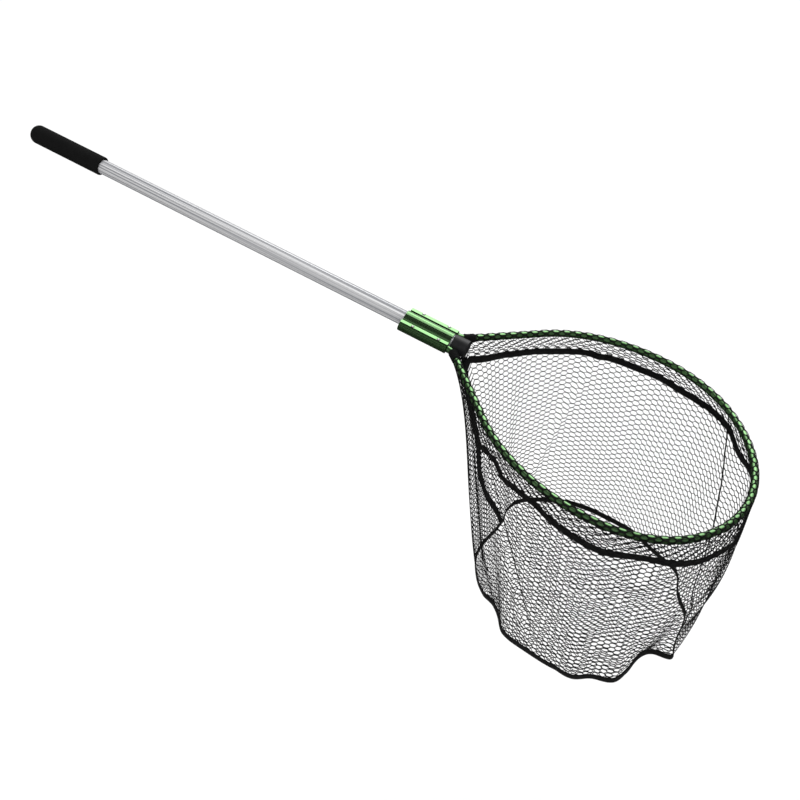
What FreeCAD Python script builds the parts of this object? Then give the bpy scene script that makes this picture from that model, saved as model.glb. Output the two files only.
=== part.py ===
import FreeCAD, Part
import math
import os

# A landing net whose handle slides through its yoke. Millimetres, +Z up.
#
# The handle, yoke and hoop are drawn along +X, lying flat, with the origin at the middle of the grip. tipped() then
# turns them about Y so that the hoop end is low, as the net is held. The bag hangs straight down from the hoop, so
# its lower part is drawn in the final frame.

V = FreeCAD.Vector
TIP_DEG = 15.0                 # how far the handle slopes down towards the hoop
GAP = 0.3                      # between soft pieces, and between pieces that move past each other

# Handle: a fluted tube with a foam grip at one end and a stop cap at the other
TUBE_R = 14.3                  # over the ridges
TUBE_BORE_R = 12.2
TUBE_REAR_X = -78.0
TUBE_FRONT_X = 890.0
FLUTES = 8
FLUTE_DEPTH = 0.9
FLUTE_R = 40.0                 # each flute is a wide shallow arc
GRIP_R = 18.5
GRIP_REAR_X = -85.0
GRIP_FRONT_X = 85.0
GRIP_DOME_R = 15.0
GRIP_LIP_R = 2.0
SEAT_R = TUBE_R + 0.05         # the grip's and the stop cap's bore
PLUG_LENGTH = 18.0
STOP_REAR_X = 864.5
STOP_FRONT_X = 894.1
STOP_REAR_R = 16.4
STOP_FRONT_R = 17.0
STOP_EDGE = 0.8

# Yoke: one extrusion with a barrel for the handle and one for each end of the hoop
YOKE_REAR_X = 765.5
YOKE_FRONT_X = 862.0
BARREL_R = 16.7
SIDE_R = 9.4
SIDE_Y = 24.0
LAND_INNER_Y = 19.0            # a flat land runs along the top and bottom of each side barrel
LAND_OUTER_Y = 27.0
LAND_Z = 10.0
YOKE_PLAY = 0.35               # between the yoke's keyed bore and the fluted tube
CREST_GROOVES = ((8.5, 0.3), (26.5, 1.15))                       # (angle from the top, cutter radius)
FLANK_RIBS = (36.5, 4.5, 4)                                      # first angle, step, count
FLANK_RIB_R = 0.45
SIDE_GROOVES = ((22.0, 0.8), (52.0, 0.7))
SIDE_RIBS = (62.0, 7.0, 9)                                       # mirrored below, so they run right round
SIDE_RIB_R = 0.4

# Hoop: a round tube bent to a teardrop, each half as (length or None, radius, turn) from the yoke outwards
HOOP_R = 6.35
HOOP_BORE_R = 5.15
HOOP_START_X = YOKE_REAR_X + 5.0
HOOP_BEND_X = YOKE_FRONT_X + 1.0
BEND_R = 25.0
FLARE_DEG = 48.0
SHOULDER_R, SHOULDER_DEG = 296.0, 52.0
BOW_R, BOW_DEG = 214.0, 44.0
TIP_R = 265.0

# Rivets: four, through the top land of the side barrels into the hoop's ends
RIVET_XS = (790.0, 843.0)
RIVET_R = 2.0
RIVET_HEAD_R = 3.2
RIVET_HEAD_H = 1.4
RIVET_TAIL_R = 2.7
RIVET_TAIL_H = 1.6

# Lock: a sprung button in the tube that snaps into a hole in the underside of the yoke
BUTTON_X = 813.0
BUTTON_R = 3.9
BUTTON_HOLE_R = 4.1
BUTTON_OUT = 18.2              # from the handle's axis to the button's face
BUTTON_FLANGE_R = 5.2
BUTTON_FLANGE_H = 1.5
LEAF_WIDTH = 8.0
LEAF_THICK = 0.6
LEAF_APEX_X = 772.0
LEAF_END_X = 819.0

# Net: the mesh wraps over the hoop as a hem, is bound by two tapes and hangs to a round bottom
HEM_R = 8.0
TIE_R = 8.4
TIE_START, TIE_END = 12.0, 34.0                                  # along the hoop from its bend
HEM_START = TIE_END + GAP
NET_THICK = 1.2
TAPE_THICK = 1.2
TAPE_WIDTH = 15.0
CORNER_X = 889.5               # where the mesh crosses under the handle from one leg of the hoop to the other
UPPER_TAPE_DROP = 45.0         # from the hoop's plane to the tape's upper edge
RING_CENTRE_X = 853.4 + 265.0
RING_R = 220.0
RING_Z = -720.0
BOTTOM_SAG = 30.0
YOKE_SEAM_WIDTH = 14.0
TIP_SEAM_WIDTH = 5.0
# The wall's two seams as (y, z) seen along X, in the final frame: one on the yoke's side and one on the tip's side
YOKE_SEAM = ((20.0, -200.0), (20.0, -330.0), (29.0, -490.0), (54.0, -597.0), (110.0, -710.0), (135.0, -765.0))
TIP_SEAM = ((215.0, -290.0), (190.0, -400.0), (153.0, -491.0), (117.0, -617.0), (9.0, -703.0), (-60.0, -765.0))
SEAM_GAP = 0.1                 # from a seam's line to each panel of the wall
FAR = 900.0                    # well beyond the net, for cutting tools
SLIDE_ROOM_R = 18.6            # room through the net's corner for the handle and its stop cap

X_AXIS = V(1, 0, 0)
Z_AXIS = V(0, 0, 1)


def tipped(shape):
    """The shape turned from the flat drawing into the part's own frame."""
    turned = shape.copy()
    turned.rotate(V(0, 0, 0), V(0, 1, 0), TIP_DEG)
    return turned


def save(node, shape):
    """Writes one sub-part and prints its volume in cubic centimetres."""
    if not shape.isValid():
        raise ValueError(node + " isn't a valid solid")
    shape.exportStep("parts/" + node + ".step")
    print(f"{node:18s} solids {len(shape.Solids)}  {shape.Volume / 1000:9.2f} cm3")


def rod(radius, x_from, x_to):
    return Part.makeCylinder(radius, x_to - x_from, V(x_from, 0, 0), X_AXIS)


def disc(radius, y, z):
    """A round face across the handle, for profiles that are extruded along it."""
    return Part.Face(Part.Wire(Part.makeCircle(radius, V(0, y, z), X_AXIS)))


def extruded(face, x_from, x_to):
    return face.translated(V(x_from, 0, 0)).extrude(V(x_to - x_from, 0, 0))


def round_the_axis(radius, degrees, y=0.0, side=1):
    """The point at an angle from straight up, about an axis at y."""
    angle = math.radians(degrees)
    return y + side * radius * math.sin(angle), radius * math.cos(angle)


# ---------------------------------------------------------------- handle

def fluted(radius, growth):
    """The tube's outline, a circle with shallow flutes, grown outwards by growth."""
    cutter = FLUTE_R - growth
    reach = radius + FLUTE_R - FLUTE_DEPTH
    cutters = []
    for k in range(FLUTES):
        y, z = round_the_axis(reach, (k + 0.5) * 360.0 / FLUTES)
        cutters.append(disc(cutter, y, z))
    return disc(radius + growth, 0, 0).cut(cutters)


def handle_tube():
    face = fluted(TUBE_R, 0.0).cut(disc(TUBE_BORE_R, 0, 0))
    tube = extruded(face, TUBE_REAR_X, TUBE_FRONT_X)
    hole = Part.makeCylinder(BUTTON_HOLE_R, TUBE_R + 1, V(BUTTON_X, 0, 0), -Z_AXIS)
    return tube.cut(hole)


def grip():
    """A foam sleeve, closed and domed at its rear end."""
    body = rod(GRIP_R, GRIP_REAR_X, GRIP_FRONT_X)
    rear = [e for e in body.Edges if abs(e.CenterOfMass.x - GRIP_REAR_X) < 0.1]
    front = [e for e in body.Edges if abs(e.CenterOfMass.x - GRIP_FRONT_X) < 0.1]
    body = body.makeFillet(GRIP_DOME_R, rear).makeFillet(GRIP_LIP_R, front)
    return body.cut(rod(SEAT_R, TUBE_REAR_X, GRIP_FRONT_X + 1))


def tube_plug():
    return rod(TUBE_BORE_R - 0.05, TUBE_REAR_X, TUBE_REAR_X + PLUG_LENGTH)


def stop_cap():
    """A cup over the tube's front end, slightly wider towards its closed face."""
    length = STOP_FRONT_X - STOP_REAR_X
    body = Part.makeCone(STOP_REAR_R, STOP_FRONT_R, length, V(STOP_REAR_X, 0, 0), X_AXIS)
    rims = [e for e in body.Edges if e.Curve.TypeId == "Part::GeomCircle"]
    body = body.makeChamfer(STOP_EDGE, rims)
    return body.cut(rod(SEAT_R, STOP_REAR_X - 1, TUBE_FRONT_X))


def lock_button():
    """A round button through the tube's and the yoke's underside, with a flange that keeps it in the tube."""
    flange_top = TUBE_BORE_R - GAP - 0.9 - BUTTON_FLANGE_H
    shank = Part.makeCylinder(BUTTON_R, BUTTON_OUT - flange_top, V(BUTTON_X, 0, -flange_top), -Z_AXIS)
    face = [e for e in shank.Edges if abs(e.CenterOfMass.z + BUTTON_OUT) < 0.01]
    shank = shank.makeFillet(1.2, face)
    flange = Part.makeCylinder(BUTTON_FLANGE_R, BUTTON_FLANGE_H, V(BUTTON_X, 0, -flange_top), -Z_AXIS)
    return shank.fuse(flange).removeSplitter()


def lock_spring():
    """A folded leaf inside the tube: one leg on the button's flange, the other against the tube's top."""
    flange_top = TUBE_BORE_R - GAP - 0.9 - BUTTON_FLANGE_H
    low = -flange_top + 0.05
    high = TUBE_BORE_R - 1.2
    outline = [
        V(LEAF_END_X, 0, low),
        V(LEAF_APEX_X, 0, -LEAF_THICK),
        V(LEAF_APEX_X, 0, LEAF_THICK),
        V(LEAF_END_X, 0, high),
        V(LEAF_END_X, 0, high - LEAF_THICK),
        V(LEAF_APEX_X + LEAF_THICK, 0, 0),
        V(LEAF_END_X, 0, low + LEAF_THICK),
        V(LEAF_END_X, 0, low),
    ]
    face = Part.Face(Part.makePolygon(outline))
    return face.translated(V(0, -LEAF_WIDTH / 2, 0)).extrude(V(0, LEAF_WIDTH, 0))


# ---------------------------------------------------------------- yoke

def yoke_grooves():
    """Round cutters for the lengthwise grooves and fine ribs, the same above and below and on both sides."""
    centre = list(CREST_GROOVES)
    centre += [(FLANK_RIBS[0] + FLANK_RIBS[1] * k, FLANK_RIB_R) for k in range(FLANK_RIBS[2])]
    outer = list(SIDE_GROOVES)
    outer += [(SIDE_RIBS[0] + SIDE_RIBS[1] * k, SIDE_RIB_R) for k in range(SIDE_RIBS[2])]
    cutters = []
    for side in (1, -1):
        for angle, radius in centre:
            for turned in (angle, 180.0 - angle):
                cutters.append(disc(radius, *round_the_axis(BARREL_R, turned, 0.0, side)))
        for angle, radius in outer:
            turns = (angle,) if angle > 90.0 else (angle, 180.0 - angle)
            for turned in turns:
                cutters.append(disc(radius, *round_the_axis(SIDE_R + 0.1, turned, side * SIDE_Y, side)))
    return cutters


def yoke():
    length = YOKE_FRONT_X - YOKE_REAR_X
    width = LAND_OUTER_Y - LAND_INNER_Y
    parts = []
    for side in (1, -1):
        parts.append(rod(SIDE_R, YOKE_REAR_X, YOKE_FRONT_X).translated(V(0, side * SIDE_Y, 0)))
        low_y = min(side * LAND_INNER_Y, side * LAND_OUTER_Y)
        parts.append(Part.makeBox(length, width, 2 * LAND_Z, V(YOKE_REAR_X, low_y, -LAND_Z)))
    body = rod(BARREL_R, YOKE_REAR_X, YOKE_FRONT_X).fuse(parts)
    holes = [extruded(fluted(TUBE_R, YOKE_PLAY), YOKE_REAR_X, YOKE_FRONT_X)]
    holes += [extruded(groove, YOKE_REAR_X, YOKE_FRONT_X) for groove in yoke_grooves()]
    holes.append(Part.makeCylinder(BUTTON_HOLE_R + 0.2, BARREL_R + 3, V(BUTTON_X, 0, 0), -Z_AXIS))
    for side in (1, -1):
        holes.append(rod(HOOP_R + 0.05, YOKE_REAR_X, YOKE_FRONT_X).translated(V(0, side * SIDE_Y, 0)))
        for x in RIVET_XS:
            holes.append(Part.makeCylinder(RIVET_R + 0.02, LAND_Z + 2, V(x, side * SIDE_Y, 0), Z_AXIS))
    return body.cut(holes).removeSplitter()


def hoop_rivets():
    """Four blind rivets, each with a domed head on the yoke and a formed tail inside the hoop's tube."""
    rivets = []
    tail_z = HOOP_BORE_R - 0.1 - RIVET_TAIL_H
    for x in RIVET_XS:
        for side in (1, -1):
            place = V(x, side * SIDE_Y, 0)
            shank = Part.makeCylinder(RIVET_R, LAND_Z + 0.5 - tail_z, place + V(0, 0, tail_z), Z_AXIS)
            tail = Part.makeCylinder(RIVET_TAIL_R, RIVET_TAIL_H, place + V(0, 0, tail_z - 0.6), Z_AXIS)
            ball_r = (RIVET_HEAD_R ** 2 + RIVET_HEAD_H ** 2) / (2 * RIVET_HEAD_H)
            ball = Part.makeSphere(ball_r, place + V(0, 0, LAND_Z + 0.02 + RIVET_HEAD_H - ball_r))
            above = Part.makeBox(20, 20, 20, place + V(-10, -10, LAND_Z + 0.02))
            rivets.append(shank.fuse([tail, ball.common(above)]).removeSplitter())
    return Part.makeCompound(rivets)


# ---------------------------------------------------------------- hoop

def hoop_pieces():
    """Half of the hoop's centreline beyond the yoke, as (length, radius or None, turn in degrees)."""
    flare = math.radians(FLARE_DEG)
    rise = SIDE_Y + BEND_R * (1 - math.cos(flare))
    heading = flare
    arcs = [(SHOULDER_R, SHOULDER_DEG), (BOW_R, BOW_DEG), (TIP_R, 90.0 + FLARE_DEG - SHOULDER_DEG - BOW_DEG)]
    for radius, turn in arcs:
        after = heading - math.radians(turn)
        rise += radius * (math.cos(after) - math.cos(heading))
        heading = after
    straight = -rise / math.sin(flare)
    pieces = [(BEND_R * flare, BEND_R, FLARE_DEG), (straight, None, 0.0)]
    pieces += [(radius * math.radians(turn), radius, -turn) for radius, turn in arcs]
    return pieces


PIECES = hoop_pieces()
HALF_LENGTH = sum(length for length, radius, turn in PIECES)


def on_hoop(distance, outwards=0.0):
    """The point on the +Y half of the hoop at a distance from the bend, moved outwards in the hoop's plane."""
    x, y, heading = HOOP_BEND_X, SIDE_Y, 0.0
    for length, radius, turn in PIECES:
        step = min(distance, length)
        if radius is None:
            x += step * math.cos(heading)
            y += step * math.sin(heading)
        else:
            sign = math.copysign(1.0, turn)
            after = heading + sign * step / radius
            x += sign * radius * (math.sin(after) - math.sin(heading))
            y -= sign * radius * (math.cos(after) - math.cos(heading))
            heading = after
        distance -= step
        if distance <= 1e-9:
            break
    return V(x - outwards * math.sin(heading), y + outwards * math.cos(heading), 0)


def stations(start):
    """Distances along the half hoop where one piece ends and the next begins, from start to the tip."""
    ends = [0.0]
    for length, radius, turn in PIECES:
        ends.append(ends[-1] + length)
    return [start] + [d for d in ends if d > start + 1e-6]


def mirrored(point):
    return V(point.x, -point.y, point.z)


def edge(a, middle, b):
    """A straight edge, or an arc where the middle lies off the straight."""
    if (middle - (a + b) * 0.5).Length < 1e-6:
        return Part.LineSegment(a, b).toShape()
    return Part.Arc(a, middle, b).toShape()


def hoop_wire(start, end):
    """The hoop's centreline from a distance on the +Y half, round the tip, to the same distance on the -Y half."""
    cuts = [d for d in stations(start) if d <= end + 1e-6]
    if cuts[-1] < end - 1e-6:
        cuts.append(end)
    half = [(on_hoop(a), on_hoop((a + b) / 2), on_hoop(b)) for a, b in zip(cuts, cuts[1:])]
    edges = [edge(*points) for points in half]
    if end >= HALF_LENGTH - 1e-6:
        edges += [edge(*(mirrored(p) for p in reversed(points))) for points in reversed(half)]
    return edges


def pipe(edges, radius):
    """A round bar along edges that run on smoothly from each other."""
    path = Part.Wire(edges)
    first = edges[0]
    start = first.valueAt(first.FirstParameter)
    section = Part.Wire(Part.makeCircle(radius, start, first.tangentAt(first.FirstParameter)))
    return path.makePipeShell([section], True, False)


def sleeve(edges, outer, inner):
    return pipe(edges, outer).cut(pipe(edges, inner))


def hoop():
    legs = [Part.LineSegment(V(HOOP_START_X, SIDE_Y, 0), V(HOOP_BEND_X, SIDE_Y, 0)).toShape()]
    back = [Part.LineSegment(V(HOOP_BEND_X, -SIDE_Y, 0), V(HOOP_START_X, -SIDE_Y, 0)).toShape()]
    tube = sleeve(legs + hoop_wire(0.0, HALF_LENGTH) + back, HOOP_R, HOOP_BORE_R)
    holes = []
    for x in RIVET_XS:
        for side in (1, -1):
            holes.append(Part.makeCylinder(RIVET_R + 0.02, HOOP_R + 1, V(x, side * SIDE_Y, 0), Z_AXIS))
    return tube.cut(holes)


# ---------------------------------------------------------------- net

def net_rims():
    """The hoop's outline and the bottom ring's as matching spans: (distance from, distance to, ring from, ring to).

    The first span is the straight corner under the handle, given by None, and ring places go from 0 to 1.
    """
    start = 0.0
    while on_hoop(start).x < CORNER_X:
        start += GAP
    corner = on_hoop(start).y
    total = corner + HALF_LENGTH - start
    spans = [(None, start, 0.0, corner / total)]
    cuts = stations(start)
    for a, b in zip(cuts, cuts[1:]):
        spans.append((a, b, (corner + a - start) / total, (corner + b - start) / total))
    return spans


def rim_point(span, part, outwards, drop, after_corner):
    """A point of the net's upper outline, part of the way along a span, tipped into the final frame."""
    a, b = span[0], span[1]
    if a is None:
        end = on_hoop(b)
        flat = V(end.x - outwards, (end.y + outwards) * part, -drop)
    elif after_corner and part == 0:
        flat = V(on_hoop(a).x - outwards, on_hoop(a).y + outwards, -drop)
    else:
        flat = on_hoop(a + (b - a) * part, outwards)
        flat.z = -drop
    return FreeCAD.Rotation(V(0, 1, 0), TIP_DEG).multVec(flat)


def ring_point(place, outwards):
    """A point of the bottom ring: place 0 is towards the grip and place 1 is towards the hoop's tip."""
    angle = math.pi * (1 - place)
    radius = RING_R + outwards
    return V(RING_CENTRE_X + radius * math.cos(angle), radius * math.sin(angle), RING_Z)


def drum(outwards, drop):
    """The space inside the net, grown outwards, from a plane below the hoop down to the ring."""
    upper, lower = [], []
    for k, span in enumerate(net_rims()):
        upper.append([rim_point(span, part, outwards, drop, k == 1) for part in (0, 0.5, 1)])
        places = [span[2] + (span[3] - span[2]) * part for part in (0, 0.5, 1)]
        lower.append([ring_point(place, outwards) for place in places])
    wires = []
    for half in (upper, lower):
        edges = [edge(*points) for points in half]
        edges += [edge(*(mirrored(p) for p in reversed(points))) for points in reversed(half)]
        wires.append(Part.Wire(edges))
    return Part.makeLoft(wires, True, True)


def shell(inner, outer, drop):
    return drum(outer, drop).cut(drum(inner, drop))


def slab_below_hoop(from_drop, to_drop):
    box = Part.makeBox(FAR, FAR, to_drop - from_drop, V(YOKE_REAR_X, -FAR / 2, -to_drop))
    return tipped(box)


def seam_line(points, shift):
    """A seam seen along X, moved along Y."""
    curve = Part.BSplineCurve()
    curve.interpolate([V(0, y + shift, z) for y, z in points])
    return curve.toShape()


def beside_seam(points, from_shift, to_shift, x_from):
    """The space that lies between two distances along Y from a seam, over one half of the net."""
    start, end = seam_line(points, from_shift), seam_line(points, to_shift)
    rungs = [Part.makeLine(start.Vertexes[k].Point, end.Vertexes[k].Point) for k in (0, -1)]
    face = Part.Face(Part.Wire(Part.__sortEdges__([start, end] + rungs)))
    return face.translated(V(x_from, 0, 0)).extrude(V(FAR, 0, 0))


def beside_both_seams(side):
    """The space on one side of both seams."""
    shifts = (SEAM_GAP, FAR) if side > 0 else (-FAR, -SEAM_GAP)
    yoke_half = beside_seam(YOKE_SEAM, *shifts, RING_CENTRE_X - FAR)
    return yoke_half.fuse(beside_seam(TIP_SEAM, *shifts, RING_CENTRE_X))


def bag_pieces():
    """The mesh panels, tapes and seams, by node name."""
    wall = NET_THICK / 2
    top = HEM_R + GAP
    room = tipped(rod(SLIDE_ROOM_R, YOKE_REAR_X, CORNER_X + 2 * GRIP_R))
    mesh = shell(-wall, wall, top).cut(room)
    tape_in = wall + GAP / 3
    tape_out = tape_in + TAPE_THICK
    tape = shell(tape_in, tape_out, top).cut(room)
    lining = shell(-tape_out, -tape_in, top).cut(room)
    ring_slab = Part.makeBox(FAR, FAR, TAPE_WIDTH, V(RING_CENTRE_X - FAR / 2, -FAR / 2, RING_Z))
    yoke_strip = beside_seam(YOKE_SEAM, -YOKE_SEAM_WIDTH / 2, YOKE_SEAM_WIDTH / 2, RING_CENTRE_X - FAR)
    tip_strip = beside_seam(TIP_SEAM, -TIP_SEAM_WIDTH / 2, TIP_SEAM_WIDTH / 2, RING_CENTRE_X)
    return {
        "net_side_left": mesh.common(beside_both_seams(1)),
        "net_side_right": mesh.common(beside_both_seams(-1)),
        "upper_tape": tape.common(slab_below_hoop(UPPER_TAPE_DROP, UPPER_TAPE_DROP + TAPE_WIDTH)),
        "lower_tape": tape.common(ring_slab),
        "yoke_seam_tape": lining.common(yoke_strip),
        "tip_seam": lining.common(tip_strip),
    }


def net_bottom():
    """A shallow bowl of mesh inside the lower end of the net's wall."""
    rim = RING_R - NET_THICK / 2 - TAPE_THICK - GAP
    radius = (rim ** 2 + BOTTOM_SAG ** 2) / (2 * BOTTOM_SAG)
    top = V(RING_CENTRE_X, 0, RING_Z + radius - BOTTOM_SAG)
    bowl = Part.makeSphere(radius, top).cut(Part.makeSphere(radius - NET_THICK, top))
    below = Part.makeBox(FAR, FAR, FAR, V(RING_CENTRE_X - FAR / 2, -FAR / 2, RING_Z - FAR))
    return bowl.common(below)


def main():
    os.makedirs("parts", exist_ok=True)
    save("handle_tube", tipped(handle_tube()))
    save("grip", tipped(grip()))
    save("tube_plug", tipped(tube_plug()))
    save("stop_cap", tipped(stop_cap()))
    save("lock_button", tipped(lock_button()))
    save("lock_spring", tipped(lock_spring()))
    save("yoke", tipped(yoke()))
    save("hoop", tipped(hoop()))
    save("hoop_rivets", tipped(hoop_rivets()))
    tie_left = sleeve(hoop_wire(TIE_START, TIE_END), TIE_R, HOOP_R + 0.05)
    save("tie_left", tipped(tie_left))
    save("tie_right", tipped(tie_left.mirror(V(0, 0, 0), V(0, 1, 0))))
    save("net_hem", tipped(sleeve(hoop_wire(HEM_START, HALF_LENGTH), HEM_R, HOOP_R + 0.05)))
    for node, shape in bag_pieces().items():
        save(node, shape)
    save("net_bottom", net_bottom())


main()
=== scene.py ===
"""The looks of a landing net: materials for its metal parts, and the netting, tapes and ties that replace the plain
soft solids. Metres, +Z up.

The hoop lies in a plane that slopes down towards +X by TIP. Points drawn in that plane are called flat, and tipped()
turns them into the row frame. The netting is drawn yarn by yarn on one surface, net_at(p, w): p runs round the rim
from the corner under the handle, first along +Y, and w runs down from the hoop's outermost line. Below zero, w goes
over the hoop and down inside it.
"""

import math

import bpy
import numpy as np
from mathutils import Matrix, Vector


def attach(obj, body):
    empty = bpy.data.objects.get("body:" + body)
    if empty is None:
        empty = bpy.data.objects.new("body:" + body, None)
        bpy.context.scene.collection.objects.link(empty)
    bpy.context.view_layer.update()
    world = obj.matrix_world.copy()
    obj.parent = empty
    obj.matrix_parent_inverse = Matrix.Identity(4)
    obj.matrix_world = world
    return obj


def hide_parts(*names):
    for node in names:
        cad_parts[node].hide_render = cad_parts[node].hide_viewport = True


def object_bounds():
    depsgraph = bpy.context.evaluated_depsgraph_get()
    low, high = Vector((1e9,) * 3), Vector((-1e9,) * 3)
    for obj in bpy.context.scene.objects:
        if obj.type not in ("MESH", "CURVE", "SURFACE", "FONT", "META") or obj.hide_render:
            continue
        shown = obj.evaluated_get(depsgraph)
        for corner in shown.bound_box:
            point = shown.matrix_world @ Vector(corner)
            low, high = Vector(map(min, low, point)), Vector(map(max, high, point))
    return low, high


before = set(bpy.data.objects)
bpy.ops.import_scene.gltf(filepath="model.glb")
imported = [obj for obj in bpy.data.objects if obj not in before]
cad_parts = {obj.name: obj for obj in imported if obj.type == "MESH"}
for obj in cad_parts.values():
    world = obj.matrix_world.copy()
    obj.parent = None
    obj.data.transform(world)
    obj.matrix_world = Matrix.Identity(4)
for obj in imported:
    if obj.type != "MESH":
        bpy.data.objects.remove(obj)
cad_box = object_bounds()

MM = 0.001
TIP = math.radians(15.0)

UP = np.array([0.0, 0.0, 1.0])

# The hoop's centreline beyond the yoke: a bend, a straight run and three arcs for each half
HOOP_R = 6.35 * MM
SIDE_Y = 24.0 * MM
HOOP_BEND_X = 863.0 * MM
BEND_R = 25.0 * MM
FLARE = math.radians(48.0)
SHOULDER = (296.0 * MM, math.radians(52.0))     # each arc's radius and turn
BOW = (214.0 * MM, math.radians(44.0))
TIP_ARC = (265.0 * MM, math.radians(42.0))
LINE_STEPS = 4000
LEG_STEPS = 1500                   # the part of the line in which x only grows
RIM_STEPS = 1641
ROUNDING_STEPS = 40                # how far the rounded copy of the rim looks to each side

# Netting
CORNER_X = 876.0 * MM
CORNER_DROP = 21.0 * MM            # the corner's upper edge passes under the sliding handle
YARN_R = 0.68 * MM
WRAP_R = HOOP_R + YARN_R + 0.1 * MM
COLUMNS = 140                      # columns of cells round the rim
ROW = 12.0 * MM
WALL_ROWS = 43
HEM_ROWS = 7
JOINT = 7.0 * MM                   # where two yarns run side by side
PAIR_GAP = 0.5 * MM                # from a joint's middle to each of its yarns
YARN_SIDES = 4
YARN_FLATTENING = 0.08             # how much wider than round a yarn lies, and how much lower
HEM_DROP = 50.0 * MM               # how far the inner layer comes down
HEM_MEETS = HEM_DROP - 4 * MM      # where it reaches the wall, down the wall
HEM_GAP = 2.2 * MM                 # between the wall and the inner layer
CORNER_HEM_GAP = 2.5 * MM          # the same in the corner, where there is no hoop

# Ring and bottom
RING_CENTRE = (1118.4 * MM, 10.0 * MM)
RING_Z = -720.0 * MM
BOTTOM_REACH = 260.0 * MM          # further than the ring goes from RING_CENTRE
BOTTOM_EDGE = 0.992                # where the bottom's yarns end, as a share of the way to the ring
BOTTOM_SAG = 24.0 * MM
DART_POINT = (-160.0 * MM, 27.0 * MM)     # a tuck in the bottom that carries the yoke seam on, about RING_CENTRE
DART_ACROSS = (0.868, 0.497)
DART_DEPTH = 14.0 * MM
DART_HALF_WIDTH = 4.5 * MM

# Tapes, seams, stitches and ties
TAPE_WIDTH = 14.0 * MM
TAPE_THICK = 1.3 * MM
LOWER_WIDTH = 12.5 * MM
LOWER_THICK = 1.5 * TAPE_THICK
YOKE_SEAM_WIDTH = 13.0 * MM
FRONT_SEAM_WIDTH = 3.6 * MM
STITCH_INSET = 2.0 * MM            # from a tape's edge to its stitching
STITCH_PITCH = 4.2 * MM
STITCH_LENGTH = 3.0 * MM
THREAD_R = 0.32 * MM
TIE_TURNS = 11
TIE_SPAN = (12.0 * MM, 34.0 * MM)  # along the hoop from its bend
CORD_R = (1.05 * MM, 0.85 * MM)    # along the hoop and out from it


def tipped(points):
    """Flat points turned into the row frame."""
    points = np.asarray(points, float)
    cos, sin = math.cos(TIP), math.sin(TIP)
    x, y, z = points[..., 0], points[..., 1], points[..., 2]
    return np.stack([x * cos + z * sin, y, -x * sin + z * cos], axis=-1)


def smooth(value, low, high):
    """0 below low, 1 above high, and a smooth step between."""
    t = np.clip((value - low) / (high - low), 0, 1)
    return t * t * (3 - 2 * t)


def unit(vectors):
    return vectors / np.maximum(np.linalg.norm(vectors, axis=-1, keepdims=True), 1e-12)


def through(table, at, closed=True):
    """A smooth curve through (place, value) pairs, read at other places. A closed one comes round again at 1."""
    places, values = np.asarray(table, float).T
    n = len(places)
    at = np.asarray(at, float)
    if closed:
        at = np.mod(at, 1.0)
        i = (np.searchsorted(places, at, side="right") - 1) % n
        a, b, c, d = (values[(i + k) % n] for k in (-1, 0, 1, 2))
        t = np.mod(at - places[i], 1.0) / np.mod(places[(i + 1) % n] - places[i], 1.0)
    else:
        at = np.clip(at, places[0], places[-1])
        i = np.clip(np.searchsorted(places, at, side="right") - 1, 0, n - 2)
        a, b, c, d = (values[np.clip(i + k, 0, n - 1)] for k in (-1, 0, 1, 2))
        t = (at - places[i]) / (places[i + 1] - places[i])
    return b + 0.5 * t * (c - a + t * (2 * a - 5 * b + 4 * c - d + t * (3 * (b - c) + d - a)))


# ---------------------------------------------------------------- the hoop's line

def hoop_line():
    """Distance from the bend, x, y and heading down the +Y half of the hoop, in fine steps."""
    arcs = (SHOULDER, BOW, TIP_ARC)
    rise = SIDE_Y + BEND_R * (1 - math.cos(FLARE))
    heading = FLARE
    for radius, turn in arcs:
        rise += radius * (math.cos(heading - turn) - math.cos(heading))
        heading -= turn
    straight = -rise / math.sin(FLARE)
    pieces = [(BEND_R * FLARE, 1 / BEND_R), (straight, 0.0)]
    pieces += [(radius * turn, -1 / radius) for radius, turn in arcs]
    lengths, curves = np.array(pieces).T
    ends = np.cumsum(lengths)
    distance = np.linspace(0, ends[-1], LINE_STEPS)
    middle = (distance[1:] + distance[:-1]) / 2
    curve = curves[np.minimum(np.searchsorted(ends, middle), len(pieces) - 1)]
    step = np.diff(distance)
    heading = np.concatenate([[0], np.cumsum(curve * step)])
    mid_heading = (heading[1:] + heading[:-1]) / 2
    x = HOOP_BEND_X + np.concatenate([[0], np.cumsum(np.cos(mid_heading) * step)])
    y = SIDE_Y + np.concatenate([[0], np.cumsum(np.sin(mid_heading) * step)])
    return distance, x, y, heading


LINE_D, LINE_X, LINE_Y, LINE_HEADING = hoop_line()


def on_line(d):
    """Flat x, y and heading of the hoop's +Y half, d metres from its bend."""
    return (np.interp(d, LINE_D, values) for values in (LINE_X, LINE_Y, LINE_HEADING))


# The rim leaves the hoop where the corner's straight edge meets it
CORNER_D = float(np.interp(CORNER_X, LINE_X[:LEG_STEPS], LINE_D[:LEG_STEPS]))
CORNER_HALF = float(np.interp(CORNER_D, LINE_D, LINE_Y))
RIM = 2 * (CORNER_HALF + LINE_D[-1] - CORNER_D)
PITCH = RIM / COLUMNS


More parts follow.
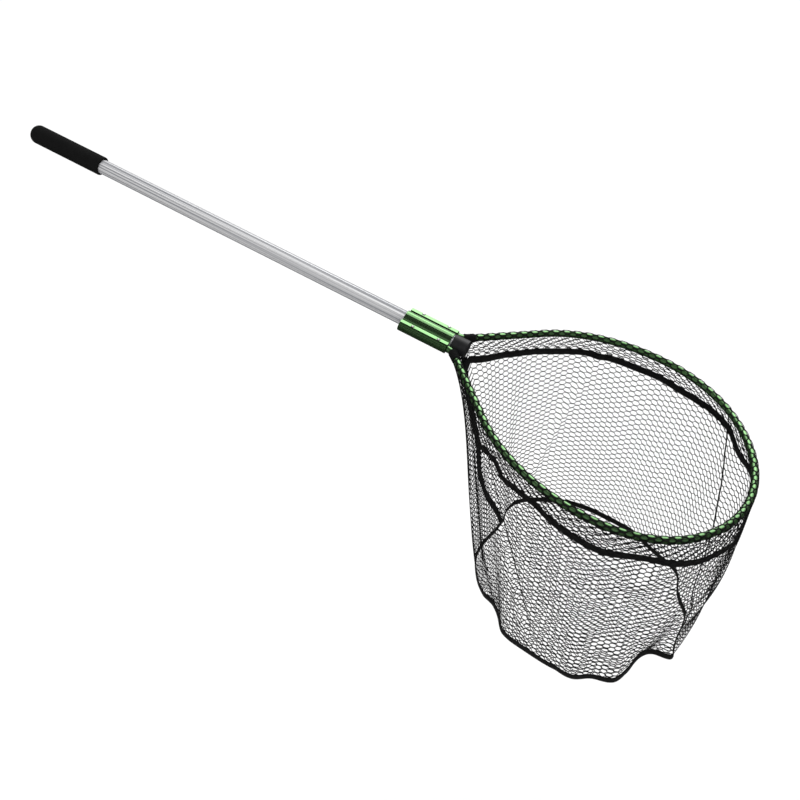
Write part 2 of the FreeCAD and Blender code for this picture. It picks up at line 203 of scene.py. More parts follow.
def rim_line():
    """The rim's flat x and y and its outward direction for places p from 0 to RIM / 2, and a rounded copy of them."""
    p = np.linspace(0, RIM / 2, RIM_STEPS)
    corner = p < CORNER_HALF
    x, y, heading = on_line(p - CORNER_HALF + CORNER_D)
    x = np.where(corner, CORNER_X, x)
    y = np.where(corner, p, y)
    heading = np.where(corner, math.pi / 2, heading)
    kernel = np.hanning(2 * ROUNDING_STEPS + 1)
    kernel /= kernel.sum()

    def rounded(values, mirror):
        """values averaged with their neighbours, and past either end with their mirror image times mirror."""
        before, after = values[ROUNDING_STEPS:0:-1], values[-2:-2 - ROUNDING_STEPS:-1]
        return np.convolve(np.concatenate([mirror * before, values, mirror * after]), kernel, "valid")

    soft_heading = rounded(heading - math.pi / 2, -1) + math.pi / 2
    soft_heading[p > RIM / 4] = heading[p > RIM / 4]
    return p, x, y, heading, rounded(x, 1), rounded(y, -1), soft_heading


RIM_LINE = rim_line()


def rim_at(p, softly):
    """Flat centre and outward direction of the rim. softly, from 0 to 1, rounds its corner under the handle."""
    p = np.mod(p, RIM)
    side = np.where(p <= RIM / 2, 1.0, -1.0)
    q = np.where(p <= RIM / 2, p, RIM - p)
    x, y, heading, soft_x, soft_y, soft_heading = (np.interp(q, RIM_LINE[0], v) for v in RIM_LINE[1:])
    x, y = x + (soft_x - x) * softly, y + (soft_y - y) * softly
    heading = heading + (soft_heading - heading) * softly
    centre = np.stack([x, side * y, np.zeros_like(x)], axis=-1)
    outward = np.stack([-np.sin(heading), side * np.cos(heading), np.zeros_like(x)], axis=-1)
    return centre, outward, q


# ---------------------------------------------------------------- the bag's shape

# Broad folds in the wall: (waves round the rim, phase, phase gained down the wall, height in mm)
FOLDS = ((7, 0.8, 0.0, 5.0), (11, 2.1, 1.5, 3.5), (19, 0.0, 4.0, 2.0))

# Creases at one place each: (place round the rim, lean over the wall's depth, height in mm, width in mm)
CREASES = (
    (0.204, -0.089, -13.0, 11.0), (0.330, -0.05, -5.0, 12.0), (0.535, -0.03, -11.0, 11.0),
    (0.876, -0.12, -9.0, 11.0), (0.950, 0.0, 15.0, 45.0),
)

# The bottom ring seen from above: (angle from +X as a share of a turn, distance from RING_CENTRE in metres)
RING_SHAPE = (
    (0.008, 0.210), (0.033, 0.197), (0.056, 0.194), (0.100, 0.206), (0.142, 0.196), (0.175, 0.197), (0.210, 0.210),
    (0.240, 0.219), (0.295, 0.239), (0.335, 0.252), (0.379, 0.267), (0.402, 0.253), (0.418, 0.231), (0.447, 0.217),
    (0.505, 0.214), (0.547, 0.202), (0.594, 0.190), (0.617, 0.180), (0.645, 0.184), (0.675, 0.201), (0.720, 0.208),
    (0.770, 0.223), (0.791, 0.233), (0.816, 0.226), (0.842, 0.236), (0.860, 0.224), (0.885, 0.204), (0.905, 0.199),
    (0.918, 0.207), (0.929, 0.233), (0.945, 0.222), (0.965, 0.214),
)


def ring_at(angle):
    """Points of the bottom ring, at angles from +X about RING_CENTRE."""
    reach = through(RING_SHAPE, angle / (2 * math.pi))
    lift = 3 * MM * np.sin(3 * angle + 0.6) + 2 * MM * np.sin(7 * angle)
    x, y = RING_CENTRE[0] + reach * np.cos(angle), RING_CENTRE[1] + reach * np.sin(angle)
    return np.stack([x, y, RING_Z + lift], axis=-1)


def ring_angle(p):
    """The angle on the bottom ring that the wall comes down to from a place on the rim."""
    return math.pi - 2 * math.pi * p / RIM


def wall_top(p, softly):
    """Where the wall leaves the hoop, or in the corner its own upper edge."""
    centre, outward, q = rim_at(p, softly)
    drop = CORNER_DROP * (1 - smooth(q, CORNER_HALF - 22 * MM, CORNER_HALF + 4 * MM))
    reach = WRAP_R * smooth(q, CORNER_HALF - 15 * MM, CORNER_HALF + 5 * MM)
    flat = centre + outward * reach[..., None]
    flat[..., 2] -= drop
    return tipped(flat)


def wall_length(p):
    return np.linalg.norm(ring_at(ring_angle(p)) - wall_top(p, np.ones_like(p)), axis=-1)


def folds(p, t):
    """How far the wall stands out of its plain shape: broad soft folds, and a few sharper creases."""
    turn = 2 * math.pi * p / RIM
    height = sum(high * np.sin(waves * turn + phase + gained * t) for waves, phase, gained, high in FOLDS)
    for place, lean, high, width in CREASES:
        across = (p / RIM - place - lean * t) * RIM / (width * MM)
        height = height + high * np.exp(-across * across)
    fade = np.sin(math.pi * np.clip(t, 0, 1)) ** 0.8
    return height * fade * MM


def wall_at(p, w):
    """The wall, w metres below the hoop's outermost line.

    By the yoke it draws in quickly towards the ring and then hangs straight. By the tip it hangs first and draws in
    low down.
    """
    softly = smooth(w, 0.0, 70 * MM)
    top, ring = wall_top(p, softly), ring_at(ring_angle(p))
    t = w / wall_length(p)
    q = np.minimum(np.mod(p, RIM), RIM - np.mod(p, RIM)) / (RIM / 2)
    by_yoke = 1 - smooth(q, 0.02, 0.32)
    inside = np.clip(t, 0, 1)
    quick = 0.62 * (1 - (1 - inside) ** 5) + 0.38 * inside ** 1.5
    slow = inside ** (1.25 + 0.85 * smooth(q, 0.5, 1.0))
    share = by_yoke * quick + (1 - by_yoke) * slow + np.maximum(t - 1, 0)
    point = top + (ring - top) * np.stack([share, share, t], axis=-1)
    level = ring - np.array([*RING_CENTRE, RING_Z])
    level[..., 2] = 0
    return point + unit(level) * folds(p, t)[..., None]


def net_at(p, w):
    """The whole netting: the wall, and for w below zero the wrap over the hoop and the inner layer."""
    p, w = np.broadcast_arrays(np.asarray(p, float), np.asarray(w, float))
    wall = wall_at(p, np.maximum(w, 0))
    centre, outward, q = rim_at(p, np.zeros_like(p))
    quarter = WRAP_R * math.pi / 2
    angle = np.clip((w + quarter) / WRAP_R, -math.pi / 2, math.pi / 2)
    over = centre + outward * (WRAP_R * np.sin(angle))[..., None]
    over[..., 2] += WRAP_R * np.cos(angle)
    over = tipped(over)
    below = np.clip((-w - 2 * quarter) / HEM_DROP, 0, 1)[..., None]
    inner = tipped(centre - outward * WRAP_R)
    meet = wall_at(p, np.full_like(w, HEM_MEETS)) - tipped(outward) * HEM_GAP
    over = np.where(below > 0, inner + (meet - inner) * below, over)
    depth = np.clip(-w, 0, HEM_DROP + 2 * quarter)
    folded = wall_at(p, depth * HEM_DROP / (HEM_DROP + 2 * quarter)) - tipped(outward) * CORNER_HEM_GAP
    on_hoop = smooth(q, CORNER_HALF - 8 * MM, CORNER_HALF + 4 * MM)[..., None]
    turned = folded + (over - folded) * on_hoop
    return np.where(w[..., None] < 0, turned, wall)


def bottom_at(x, y):
    """The bowl under the ring: level coordinates about RING_CENTRE to points."""
    angle = np.arctan2(y, x)
    ring = ring_at(angle)
    reach = np.hypot(ring[..., 0] - RING_CENTRE[0], ring[..., 1] - RING_CENTRE[1])
    share = np.hypot(x, y) / reach
    sag = BOTTOM_SAG * (1 - np.clip(share, 0, 1) ** 3)
    ripple = 2.5 * MM * np.sin(x / (31 * MM) + 1.1) * np.sin(y / (42 * MM) + x / (90 * MM))
    dart = (x - DART_POINT[0]) * DART_ACROSS[0] + (y - DART_POINT[1]) * DART_ACROSS[1]
    fold = DART_DEPTH * np.exp(-(dart / DART_HALF_WIDTH) ** 2)
    z = ring[..., 2] - sag + (ripple - fold) * (1 - share ** 4)
    return np.stack([RING_CENTRE[0] + x, RING_CENTRE[1] + y, z], axis=-1), share


# ---------------------------------------------------------------- mesh building

def run_length(line):
    """The distance along a line to each of its points."""
    return np.concatenate([[0], np.cumsum(np.linalg.norm(np.diff(line, axis=0), axis=1))])


class Builder:
    """Collects vertices and faces, and makes one mesh object of them."""

    def __init__(self):
        self.points, self.along, self.faces, self.sizes, self.count = [], [], [], [], 0

    def add_faces(self, faces):
        """Faces with equally many corners each, numbered from the first point of what is being added."""
        self.faces.append((faces + self.count).ravel())
        self.sizes.append(np.full(len(faces), faces.shape[1]))

    def sweep(self, line, across, normal, profile, marks, closed=False):
        """A profile carried along a line. Closed lines join up, open ones get end caps.

        profile has each corner's place across the line and out from it, and marks the two numbers kept for it in
        the mesh's "along" attribute, after the distance along the line.
        """
        n, sides = len(line), len(profile)
        points = line[:, None] + across[:, None] * profile[None, :, :1] + normal[:, None] * profile[None, :, 1:]
        along = np.zeros((n, sides, 3))
        along[..., 0] = run_length(line)[:, None]
        along[..., 1:] = marks
        i, k = np.arange(n if closed else n - 1)[:, None] * sides, np.arange(sides)
        after, beside = (i + sides) % (n * sides), (k + 1) % sides
        self.points.append(points.reshape(-1, 3))
        self.along.append(along.reshape(-1, 3))
        self.add_faces(np.stack([i + k, i + beside, after + beside, after + k], axis=-1).reshape(-1, 4))
        if not closed:
            self.add_faces(np.stack([k[::-1], k + (n - 1) * sides]))
        self.count += n * sides

    def tube(self, line, across, normal, radii, sides):
        """A tube along a line, elliptical by its radii across the line and out from it."""
        ring = 2 * math.pi * (np.arange(sides) + 0.5) / sides
        profile = np.stack([radii[0] * np.cos(ring), radii[1] * np.sin(ring)], axis=-1)
        marks = np.stack([np.arange(sides) / sides, np.zeros(sides)], axis=-1)
        self.sweep(line, across, normal, profile, marks)

    def make(self, name):
        mesh = bpy.data.meshes.new(name)
        points, faces, sizes = np.concatenate(self.points), np.concatenate(self.faces), np.concatenate(self.sizes)
        mesh.vertices.add(len(points))
        mesh.vertices.foreach_set("co", points.astype(np.float32).ravel())
        mesh.loops.add(len(faces))
        mesh.loops.foreach_set("vertex_index", faces.astype(np.int32))
        mesh.polygons.add(len(sizes))
        mesh.polygons.foreach_set("loop_start", (np.cumsum(sizes) - sizes).astype(np.int32))
        mesh.polygons.foreach_set("use_smooth", np.ones(len(sizes), bool))
        along = mesh.attributes.new("along", "FLOAT_VECTOR", "POINT")
        along.data.foreach_set("vector", np.concatenate(self.along).astype(np.float32).ravel())
        mesh.update(calc_edges=True)
        mesh.validate()
        piece = bpy.data.objects.new(name, mesh)
        bpy.context.scene.collection.objects.link(piece)
        return piece


def tangents(line, closed=False):
    """Directions along a line."""
    if closed:
        return unit(np.roll(line, -1, axis=0) - np.roll(line, 1, axis=0))
    return unit(np.gradient(line, axis=0))


def sideways(line, normal, closed=False):
    """Across directions in the surface, and normals made square to the line."""
    tangent = tangents(line, closed)
    across = unit(np.cross(normal, tangent))
    return across, unit(np.cross(tangent, across))


# ---------------------------------------------------------------- netting

# One column of a yarn: (place from the joint's middle in joints, share of its move up or down that is done)
COLUMN = ((-0.43, 0.0), (0.43, 0.0), (0.63, 0.13), (1.03, 0.87))
ROUND_OFF = 1e-9


def yarn_path(first, last, row, way):
    """A yarn's p and w between two columns. Its odd columns lie lower where way is 1, and higher where it is -1."""
    p, w = [], []
    for column in range(first, last + 1):
        odd = column % 2
        here, there = row + way * ROW / 2 * odd, row + way * ROW / 2 * (1 - odd)
        nudge = way * PAIR_GAP * (1 - 2 * odd)
        for place, moved in COLUMN:
            p.append(column * PITCH + place * JOINT)
            w.append(here + nudge + (there - here - 2 * nudge) * moved)
    p, w = np.array(p), np.array(w)
    keep = (p >= first * PITCH - ROUND_OFF) & (p <= last * PITCH + ROUND_OFF)
    return p[keep], w[keep]


def net_normal(p, w):
    """The direction out of the netting, from four places close by."""
    step = 0.5 * MM
    along = net_at(p + step, w) - net_at(p - step, w)
    down = net_at(p, w + step) - net_at(p, w - step)
    return unit(np.cross(down, along))


def runs(keep):
    """The stretches of True, as (start, end), without those of one or two places."""
    edges = np.flatnonzero(np.diff(np.concatenate([[0], keep.astype(int), [0]])))
    return [(a, b) for a, b in zip(edges[::2], edges[1::2]) if b - a > 2]


def add_yarn(builder, line, normal):
    across, normal = sideways(line, normal)
    radii = (YARN_R * (1 + YARN_FLATTENING), YARN_R * (1 - YARN_FLATTENING))
    builder.tube(line, across, normal, radii, YARN_SIDES)


# The wall's two seams: (share of the wall's depth, place round the rim)
YOKE_SEAM = (
    (0.0, 0.0135), (0.11, 0.0095), (0.20, 0.0070), (0.33, 0.0110), (0.475, 0.0152), (0.55, 0.0152), (0.635, 0.0175),
    (0.752, 0.0323), (0.857, 0.0519), (0.983, 0.0730), (1.0, 0.0760),
)
FRONT_SEAM = (
    (0.0, 0.362), (0.226, 0.3795), (0.29, 0.389), (0.363, 0.397), (0.448, 0.402), (0.60, 0.411), (0.713, 0.422),
    (0.855, 0.4555), (0.955, 0.500), (1.0, 0.515),
)


YOKE_SEAM_TOP = 1 / 450            # where each seam's tape starts, as a share of the wall's depth
FRONT_SEAM_TOP = 40 / 450


def seam_places(p, w):
    """Where the yoke seam and the front seam cross the wall at the depth of p and w, as places round the rim."""
    t = w / wall_length(p)
    return through(YOKE_SEAM, t, closed=False) * RIM, through(FRONT_SEAM, t, closed=False) * RIM


def left_panel(p, w):
    """Where the wall lies between the yoke seam and the front seam, on the +Y side."""
    yoke_seam, front_seam = seam_places(p, w)
    return (p > yoke_seam) & (p < front_seam)


def right_panel(p, w):
    """The rest of the wall. It passes the rim's start and ends at the yoke seam, one time round."""
    yoke_seam, front_seam = seam_places(p, w)
    return (p > front_seam) & (p < RIM + yoke_seam)


def all_round(p, w):
    """Everywhere."""
    return np.ones(len(p), bool)


def netting(name, columns, rows, inside):
    """A panel of netting on net_at, between two columns and two rows, where inside holds."""
    builder = Builder()
    hem_end = -(HEM_DROP + WRAP_R * math.pi)
    for row in rows:
        for way in (1, -1):
            p, w = yarn_path(*columns, row * ROW, way)
            keep = inside(p, w) & (w <= wall_length(p) + 1 * MM) & (w > hem_end)
            for a, b in runs(keep):
                add_yarn(builder, net_at(p[a:b], w[a:b]), net_normal(p[a:b], w[a:b]))
    return builder.make(name)


def bottom_netting(name):
    """Round netting under the ring, with its rows along X."""
    builder = Builder()
    columns, rows = int(BOTTOM_REACH / PITCH) + 1, int(BOTTOM_REACH / ROW) + 1
    for row in range(-rows, rows + 1):
        for way in (1, -1):
            x, y = yarn_path(-columns, columns, row * ROW, way)
            line, share = bottom_at(x, y)
            for a, b in runs(share <= BOTTOM_EDGE):
                add_yarn(builder, line[a:b], np.tile(-UP, (b - a, 1)))
    return builder.make(name)


# ---------------------------------------------------------------- tapes, seams and ties

def ribbon(builder, line, across, normal, width, thick, closed=False):
    """A flat woven tape with rounded edges. across and width span the tape, normal points out of its face."""
    half, edge = width / 2, thick / 2
    profile = []
    for end in (1, -1):
        for degrees in (-60, -20, 20, 60):
            a = math.radians(degrees)
            profile.append((end * (half - edge + edge * math.cos(a)), end * edge * math.sin(a)))
        for share in (0.5, 0.0, -0.5):
            profile.append((end * (half - edge) * share, end * edge))
    profile = np.array(profile)
    builder.sweep(line, across, normal, profile, profile, closed)


def stitches(builder, line, normal):
    """A row of short thread stitches that stand on a line and dip into it at their ends."""
    gone = run_length(line)
    for start in np.arange(STITCH_PITCH / 2, gone[-1] - STITCH_LENGTH, STITCH_PITCH):
        at = np.linspace(start, start + STITCH_LENGTH, 4)
        points, out = (
            np.stack([np.interp(at, gone, values[:, k]) for k in range(3)], axis=1) for values in (line, normal)
        )
        points = points + unit(out) * np.array([-0.6, 0.35, 0.35, -0.6])[:, None] * THREAD_R
        side, out = sideways(points, out)
        builder.tube(points, side, out, (THREAD_R, THREAD_R), 5)


def stitched(builder, line, across, normal, width, thick, closed=False):
    """A tape with a row of stitching near each edge, on both faces."""
    ribbon(builder, line, across, normal, width, thick, closed)
    for edge in (1, -1):
        for face in (1, -1):
            row = line + across * edge * (width / 2 - STITCH_INSET) + normal * face * thick / 2
            stitches(builder, row, normal * face)


# How far the upper tape hangs under the hoop: (place round the rim, metres)
TAPE_DROP = (
    (0.0, 0.038), (0.025, 0.048), (0.074, 0.046), (0.160, 0.046), (0.200, 0.041), (0.243, 0.042), (0.299, 0.044),
    (0.336, 0.038), (0.370, 0.034), (0.405, 0.046), (0.437, 0.047), (0.470, 0.060), (0.500, 0.065), (0.525, 0.060),
    (0.546, 0.056), (0.580, 0.048), (0.605, 0.050), (0.634, 0.046), (0.656, 0.042), (0.688, 0.044), (0.713, 0.048),
    (0.740, 0.046), (0.764, 0.047), (0.787, 0.038), (0.811, 0.042), (0.830, 0.051), (0.845, 0.035), (0.867, 0.049),
    (0.886, 0.060), (0.895, 0.046), (0.905, 0.020), (0.920, 0.010), (0.950, 0.008), (0.974, 0.008), (0.988, 0.020),
)


def on_wall(p, w, out):
    """The line of something that lies on the wall, out metres proud of it, and the directions out of the wall."""
    normal = net_normal(p, w)
    return net_at(p, w) + normal * out, normal


def upper_tape(name):
    """The tape round the outside of the wall that holds the folded netting down."""
    builder = Builder()
    p = np.linspace(0, RIM, 700, endpoint=False)
    line, normal = on_wall(p, through(TAPE_DROP, p / RIM), YARN_R + TAPE_THICK / 2 + 0.3 * MM)
    across, normal = sideways(line, normal, closed=True)
    stitched(builder, line, across, normal, TAPE_WIDTH, TAPE_THICK, closed=True)
    return builder.make(name)


def lower_tape(name):
    """The binding round the bottom edge, leaning a little in and out."""
    builder = Builder()
    angle = np.linspace(0, 2 * math.pi, 640, endpoint=False)
    line = ring_at(angle)
    level = unit(np.cross(tangents(line, closed=True), UP))
    lean = np.radians(5 * np.sin(4 * angle + 1.0))[:, None]
    across, normal = sideways(line, level * np.cos(lean) - UP * np.sin(lean), closed=True)
    line = line + normal * (TAPE_THICK / 2 + 0.2 * MM)
    stitched(builder, line, across, normal, LOWER_WIDTH, LOWER_THICK, closed=True)
    return builder.make(name)


def seam(name, places, top, width, thick, out):
    """A tape down the wall to the ring, along a seam, from top as a share of the wall's depth."""
    builder = Builder()
    t = np.linspace(top, 1, 160)
    p = through(places, t, closed=False) * RIM
    w = wall_length(p) * t
    line, normal = on_wall(p, w, out)
    across, normal = sideways(line, normal)
    stitched(builder, line, across, normal, width, thick)
    return builder.make(name)


def tie(name, side):
    """Cord wound round the leg of the hoop beside the yoke, over the end of the netting."""
    builder = Builder()
    start, end = TIE_SPAN
    t = np.linspace(0, 1, 20 * TIE_TURNS)
    d = start + (end - start) * (t + 0.006 * np.sin(2 * math.pi * 3.3 * t))
    x, y, heading = on_line(d)
    outward = np.stack([-np.sin(heading), np.cos(heading), np.zeros_like(x)], axis=-1)
    angle = 2 * math.pi * TIE_TURNS * t
    radius = (HOOP_R + 1.15 * MM + 0.25 * MM * np.sin(5 * angle / TIE_TURNS))[:, None]
    radial = outward * np.cos(angle)[:, None] + UP * np.sin(angle)[:, None]
    flat = np.stack([x, y, np.zeros_like(x)], axis=-1) + radial * radius
    flat[:, 1] *= side
    radial[:, 1] *= side
    line, normal = tipped(flat), tipped(radial)
    across, normal = sideways(line, normal)
    builder.tube(line, across, normal, CORD_R, 8)
    return builder.make(name)


# ---------------------------------------------------------------- materials

MIX_FACTOR, MIX_ONE, MIX_OTHER = 0, 6, 7      # a colour mix's inputs, which share their names with others
MIX_RESULT = 2


def new_material(name, colour, roughness, metallic=0.0):
    """A material with a Principled shader. Returns the material, its node tree and the shader."""
    material = bpy.data.materials.new(name)
    material.use_nodes = True
    tree = material.node_tree
    shader = tree.nodes["Principled BSDF"]
    shader.inputs["Base Color"].default_value = (*colour, 1)
    shader.inputs["Roughness"].default_value = roughness
    shader.inputs["Metallic"].default_value = metallic
    return material, tree, shader


def node(tree, kind, **settings):
    """A new node, with each setting put on the input of that name, or else on the node itself."""
    made = tree.nodes.new(kind)
    for key, value in settings.items():
        if key in made.inputs:
            made.inputs[key].default_value = value
        else:
            setattr(made, key, value)
    return made


def along_handle(tree, scale):
    """Object coordinates turned so that X runs down the handle, and scaled."""
    place = node(tree, "ShaderNodeTexCoord")
    mapping = node(tree, "ShaderNodeMapping", vector_type="TEXTURE", Rotation=(0, TIP, 0),
                   Scale=[1 / s for s in scale])
    tree.links.new(place.outputs["Object"], mapping.inputs["Vector"])
    return mapping.outputs["Vector"]


def object_place(tree):
    return node(tree, "ShaderNodeTexCoord").outputs["Object"]


def noise(tree, vector, scale, detail=3.0):
    made = node(tree, "ShaderNodeTexNoise", Scale=scale, Detail=detail)
    tree.links.new(vector, made.inputs["Vector"])
    return made.outputs["Fac"]


def ranged(tree, value, low, high, start=0.0, end=1.0):
    """low where value is start, high where it is end, and evenly between."""
    made = node(tree, "ShaderNodeMapRange")
    for key, limit in (("To Min", low), ("To Max", high), ("From Min", start), ("From Max", end)):
        made.inputs[key].default_value = limit
    tree.links.new(value, made.inputs["Value"])
    return made.outputs["Result"]


def mixed(tree, value, one, other):
    """one where value is 0 and other where it is 1. Each of the two is a colour or a socket that gives one."""
    made = node(tree, "ShaderNodeMix", data_type="RGBA")
    for key, colour in ((MIX_ONE, one), (MIX_OTHER, other)):
        if isinstance(colour, bpy.types.NodeSocket):
            tree.links.new(colour, made.inputs[key])
        else:
            made.inputs[key].default_value = (*colour, 1)
    tree.links.new(value, made.inputs[MIX_FACTOR])
    return made.outputs[MIX_RESULT]


def calculated(tree, operation, value, number, added=None):
    """A Math node's result, from a socket, a number and for MULTIPLY_ADD another socket."""
    made = node(tree, "ShaderNodeMath", operation=operation)
    tree.links.new(value, made.inputs[0])
    made.inputs[1].default_value = number
    if added:
        tree.links.new(added, made.inputs[2])
    return made.outputs[0]


def bump(tree, shader, height, strength, distance):
    made = node(tree, "ShaderNodeBump", Strength=strength, Distance=distance)
    tree.links.new(height, made.inputs["Height"])
    tree.links.new(made.outputs["Normal"], shader.inputs["Normal"])


def drawn_metal(name, colour, mottle_and_band_colour, roughness, metallic=1.0, coat=0.0, groove_shade=None, painted_reflection_bands=False):
    """Extruded metal: fine lines along the handle and a slow change of finish and tone. If asked, long streaks along
    the handle mix in the second colour as painted reflection bands, and ambient occlusion paints shade into narrow
    hollows.
    """
    material, tree, shader = new_material(name, colour, roughness, metallic)
    lines = noise(tree, along_handle(tree, (4, 900, 900)), 1.0, 2.0)
    clouds = noise(tree, along_handle(tree, (6, 40, 40)), 1.0, 4.0)
    # With the streak flag set, thin streaks along the handle mix in the second colour: painted reflection bands,
    # light and dark. Without it the slow clouds give a gentle change of tone.
    mottle_and_band_mask = noise(tree, along_handle(tree, (1.2, 380, 380)), 1.0, 1.0) if painted_reflection_bands else clouds
    tint = mixed(tree, ranged(tree, mottle_and_band_mask, 0.0, 1.0, 0.40, 0.62), colour, mottle_and_band_colour)
    if groove_shade:
        # Painted shade: ambient occlusion mixes the given dark colour into the narrow hollows, where shade falls.
        openness = node(tree, "ShaderNodeAmbientOcclusion", Distance=3 * MM, samples=8).outputs["AO"]
        tint = mixed(tree, calculated(tree, "POWER", openness, 6.0), groove_shade, tint)
    tree.links.new(tint, shader.inputs["Base Color"])
    both = calculated(tree, "MULTIPLY_ADD", lines, 0.5, clouds)
    tree.links.new(ranged(tree, both, roughness * 0.75, roughness * 1.35), shader.inputs["Roughness"])
    shader.inputs["Coat Weight"].default_value = coat
    shader.inputs["Coat Roughness"].default_value = 0.12
    bump(tree, shader, lines, 0.06, 0.05 * MM)
    return material


def foam():
    """Matt black foam with fine closed cells."""
    material, tree, shader = new_material("foam", (0.004, 0.004, 0.004), 0.9)
    shader.inputs["Specular IOR Level"].default_value = 0.2
    place = object_place(tree)
    cells = node(tree, "ShaderNodeTexVoronoi", Scale=1500.0)
    tree.links.new(place, cells.inputs["Vector"])
    tree.links.new(mixed(tree, noise(tree, place, 60.0), (0.003, 0.003, 0.003), (0.006, 0.006, 0.006)),
                   shader.inputs["Base Color"])
    tree.links.new(ranged(tree, noise(tree, place, 200.0), 0.8, 1.0), shader.inputs["Roughness"])
    bump(tree, shader, cells.outputs["Distance"], 0.5, 0.3 * MM)
    return material


def plastic():
    """Black moulded plastic with a fine grain."""
    material, tree, shader = new_material("plastic", (0.012, 0.012, 0.013), 0.4)
    place = object_place(tree)
    tree.links.new(mixed(tree, noise(tree, place, 90.0), (0.009, 0.009, 0.010), (0.016, 0.016, 0.017)),
                   shader.inputs["Base Color"])
    tree.links.new(ranged(tree, noise(tree, place, 300.0), 0.32, 0.5), shader.inputs["Roughness"])
    bump(tree, shader, noise(tree, place, 1800.0), 0.25, 0.1 * MM)
    return material


def along(tree):
    """The distance along a drawn yarn or tape, and the place round or across it."""
    return node(tree, "ShaderNodeAttribute", attribute_name="along").outputs["Vector"]


def woven():
    """Black binding tape: a fine twill, with a little sheen and faint patches of dust."""
    material, tree, shader = new_material("woven_tape", (0.004, 0.004, 0.004), 0.8)
    shader.inputs["Specular IOR Level"].default_value = 0.2
    place = along(tree)
    warp = node(tree, "ShaderNodeTexWave", Scale=260.0, Distortion=0.4, bands_direction="DIAGONAL")
    weft = node(tree, "ShaderNodeTexWave", Scale=420.0, Distortion=0.2, bands_direction="X")
    for wave in (warp, weft):
        tree.links.new(place, wave.inputs["Vector"])
    height = calculated(tree, "MULTIPLY_ADD", warp.outputs["Fac"], 0.8, weft.outputs["Fac"])
    tree.links.new(mixed(tree, noise(tree, object_place(tree), 120.0), (0.003, 0.003, 0.003), (0.007, 0.007, 0.007)),
                   shader.inputs["Base Color"])
    tree.links.new(ranged(tree, height, 0.7, 0.95), shader.inputs["Roughness"])
    shader.inputs["Sheen Weight"].default_value = 0.03
    bump(tree, shader, height, 0.5, 0.3 * MM)
    return material


def yarn_material(name, colour, light):
    """Braided black yarn: slanting strands along it, and a little colour change from place to place."""
    material, tree, shader = new_material(name, colour, 0.7)
    shader.inputs["Specular IOR Level"].default_value = 0.2
    strands = node(tree, "ShaderNodeTexWave", Scale=300.0, Distortion=0.6, bands_direction="DIAGONAL")
    tree.links.new(along(tree), strands.inputs["Vector"])
    tree.links.new(mixed(tree, noise(tree, object_place(tree), 45.0), colour, light), shader.inputs["Base Color"])
    tree.links.new(ranged(tree, strands.outputs["Fac"], 0.6, 0.85), shader.inputs["Roughness"])
    bump(tree, shader, strands.outputs["Fac"], 0.4, 0.2 * MM)
    return material


def dress(piece, material):
    """The material on a mesh, in place of any it has."""
    piece.data.materials.clear()
    piece.data.materials.append(material)


# ---------------------------------------------------------------- stage

FLOOR_HALF = 60.0
FLOOR_DROP = 0.60                         # from the net's lowest point down to the floor
FLOOR_WHITE = (0.95, 0.95, 0.95)
FLOOR_TO_GLOSS = (0.06, 0.06, 0.06)       # what gloss sees in the floor's place
SURROUNDINGS = (1.08, 1.08, 1.08)
BANK = (-0.10, 0.75, 0.66)                # the direction of the bright bank
# What gloss sees: (place from straight away from the bank to straight towards it, brightness)
GLOSS = ((0.0, 0.22), (0.45, 0.20), (0.60, 0.07), (0.85, 0.04), (0.945, 1.2), (1.0, 1.45))


def area_light(name, place, target, size, power):
    data = bpy.data.lights.new(name, "AREA")
    data.shape = "RECTANGLE"
    data.size, data.size_y = size
    data.energy = power
    light = bpy.data.objects.new(name, data)
    light.location = place
    light.rotation_mode = "QUATERNION"
    light.rotation_quaternion = (Vector(target) - Vector(place)).to_track_quat("-Z", "Y")
    bpy.context.scene.collection.objects.link(light)


def seen_in_gloss(tree):
    """1 for what a glossy surface sees, and 0 otherwise."""
    return node(tree, "ShaderNodeLightPath").outputs["Is Glossy Ray"]


def studio():
    """A white floor and surroundings. Gloss sees one bright bank beyond the net and dark walls elsewhere."""
    mesh = bpy.data.meshes.new("floor")
    level = cad_box[0].z - FLOOR_DROP
    corners = [(x * FLOOR_HALF, y * FLOOR_HALF, level) for x, y in ((-1, -1), (1, -1), (1, 1), (-1, 1))]
    mesh.from_pydata(corners, [], [(0, 1, 2, 3)])
    floor = bpy.data.objects.new("floor", mesh)
    bpy.context.scene.collection.objects.link(floor)
    material, tree, shader = new_material("floor", FLOOR_WHITE, 0.9)
    shader.inputs["Specular IOR Level"].default_value = 0.0
    tree.links.new(mixed(tree, seen_in_gloss(tree), FLOOR_WHITE, FLOOR_TO_GLOSS), shader.inputs["Base Color"])
    mesh.materials.append(material)

    world = bpy.data.worlds.new("studio")
    bpy.context.scene.world = world
    world.use_nodes = True
    tree = world.node_tree
    direction = node(tree, "ShaderNodeTexCoord")
    towards_bank = node(tree, "ShaderNodeVectorMath", operation="DOT_PRODUCT")
    towards_bank.inputs[1].default_value = Vector(BANK).normalized()
    tree.links.new(direction.outputs["Generated"], towards_bank.inputs[0])
    ramp = node(tree, "ShaderNodeValToRGB")
    tree.links.new(ranged(tree, towards_bank.outputs["Value"], 0.0, 1.0, start=-1.0), ramp.inputs["Fac"])
    elements = ramp.color_ramp.elements
    while len(elements) < len(GLOSS):
        elements.new(0.5)
    for element, (place, value) in zip(elements, GLOSS):
        element.position = place
        element.color = (value, value, value, 1)
    tree.links.new(mixed(tree, seen_in_gloss(tree), SURROUNDINGS, ramp.outputs["Color"]),
                   tree.nodes["Background"].inputs["Color"])

    area_light("bank", (0.8, 2.4, 2.2), (0.9, 0.0, -0.3), (2.2, 1.6), 12.0)


EYE = (1.4187, -1.4254, 0.7291)
EYE_BACK = (0.3566, -0.7367, 0.5746)      # the direction from the view's middle to the eye
EYE_UP = (-0.2504, 0.5172, 0.8185)


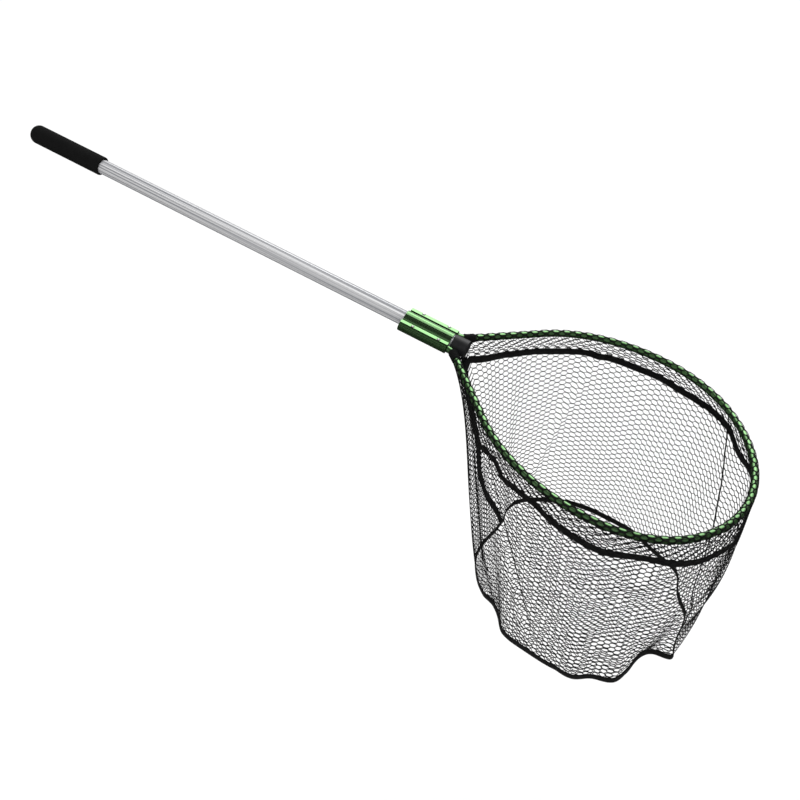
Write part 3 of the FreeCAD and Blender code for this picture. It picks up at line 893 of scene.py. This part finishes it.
def camera():
    """The view: from the near side, above, with the handle running away to the upper left."""
    back = Vector(EYE_BACK).normalized()
    up = Vector(EYE_UP)
    right = up.cross(back).normalized()
    up = back.cross(right)
    data = bpy.data.cameras.new("camera")
    data.lens, data.sensor_width = 45.0, 36.0
    data.clip_start, data.clip_end = 0.05, 200.0
    eye = bpy.data.objects.new("camera", data)
    turn = Matrix((right, up, back)).transposed().to_4x4()
    eye.matrix_world = Matrix.Translation(Vector(EYE)) @ turn
    bpy.context.scene.collection.objects.link(eye)
    bpy.context.scene.camera = eye


# ---------------------------------------------------------------- the object

def add_piece(piece, material, cad):
    """The piece with its material, on the frame's body, in place of a CAD node."""
    dress(piece, material)
    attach(piece, "frame")
    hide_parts(cad)
    return piece


def soft_pieces():
    """The netting, tapes, seams and ties."""
    yarn = yarn_material("yarn", (0.004, 0.004, 0.004), (0.009, 0.009, 0.009))
    tape = woven()
    rows = range(0, WALL_ROWS)
    left = add_piece(netting("wall_netting_left", (0, COLUMNS // 2 + 4), rows, left_panel), yarn,
                     "net_side_left")
    right = add_piece(netting("wall_netting_right", (COLUMNS // 3, COLUMNS + 12), rows, right_panel), yarn,
                      "net_side_right")
    hem = add_piece(netting("hem_netting", (0, COLUMNS), range(-HEM_ROWS, 0), all_round), yarn,
                    "net_hem")
    bottom = add_piece(bottom_netting("bottom_netting"), yarn, "net_bottom")
    upper = add_piece(upper_tape("upper_binding"), tape, "upper_tape")
    lower = add_piece(lower_tape("lower_binding"), tape, "lower_tape")
    yoke_seam = add_piece(
        seam("yoke_seam_binding", YOKE_SEAM, YOKE_SEAM_TOP, YOKE_SEAM_WIDTH, 1.6 * MM, -2.0 * MM),
        tape, "yoke_seam_tape")
    front_seam = add_piece(
        seam("front_seam_binding", FRONT_SEAM, FRONT_SEAM_TOP, FRONT_SEAM_WIDTH, 1.4 * MM, -1.6 * MM),
        tape, "tip_seam")
    for name, cad, side in (("tie_cord_left", "tie_left", 1), ("tie_cord_right", "tie_right", -1)):
        add_piece(tie(name, side), yarn, cad)


def hard_pieces():
    """Materials for the CAD nodes that are kept."""
    # The aluminium's second colour, much darker, paints the tube's dark reflection bands in streaks along it.
    aluminium = drawn_metal("aluminium", (0.92, 0.92, 0.93), (0.36, 0.37, 0.40), 0.26, metallic=0.5, painted_reflection_bands=True)
    # The green's last colour is painted shade for its hollows, under the netting on the hoop as well.
    green = drawn_metal("green_anodised", (0.25, 0.49, 0.21), (0.19, 0.41, 0.155), 0.22, coat=0.3,
                        groove_shade=(0.010, 0.022, 0.009))
    steel = drawn_metal("steel", (0.86, 0.84, 0.82), (0.76, 0.74, 0.72), 0.25)
    black = plastic()
    finishes = {
        "handle_tube": aluminium, "yoke": green, "hoop": green, "hoop_rivets": steel, "lock_button": steel,
        "lock_spring": steel, "stop_cap": black, "tube_plug": black, "grip": foam(),
    }
    for name, material in finishes.items():
        dress(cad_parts[name], material)


def main():
    soft_pieces()
    hard_pieces()
    studio()
    camera()
    bpy.context.scene.view_settings.view_transform = "Standard"


main()
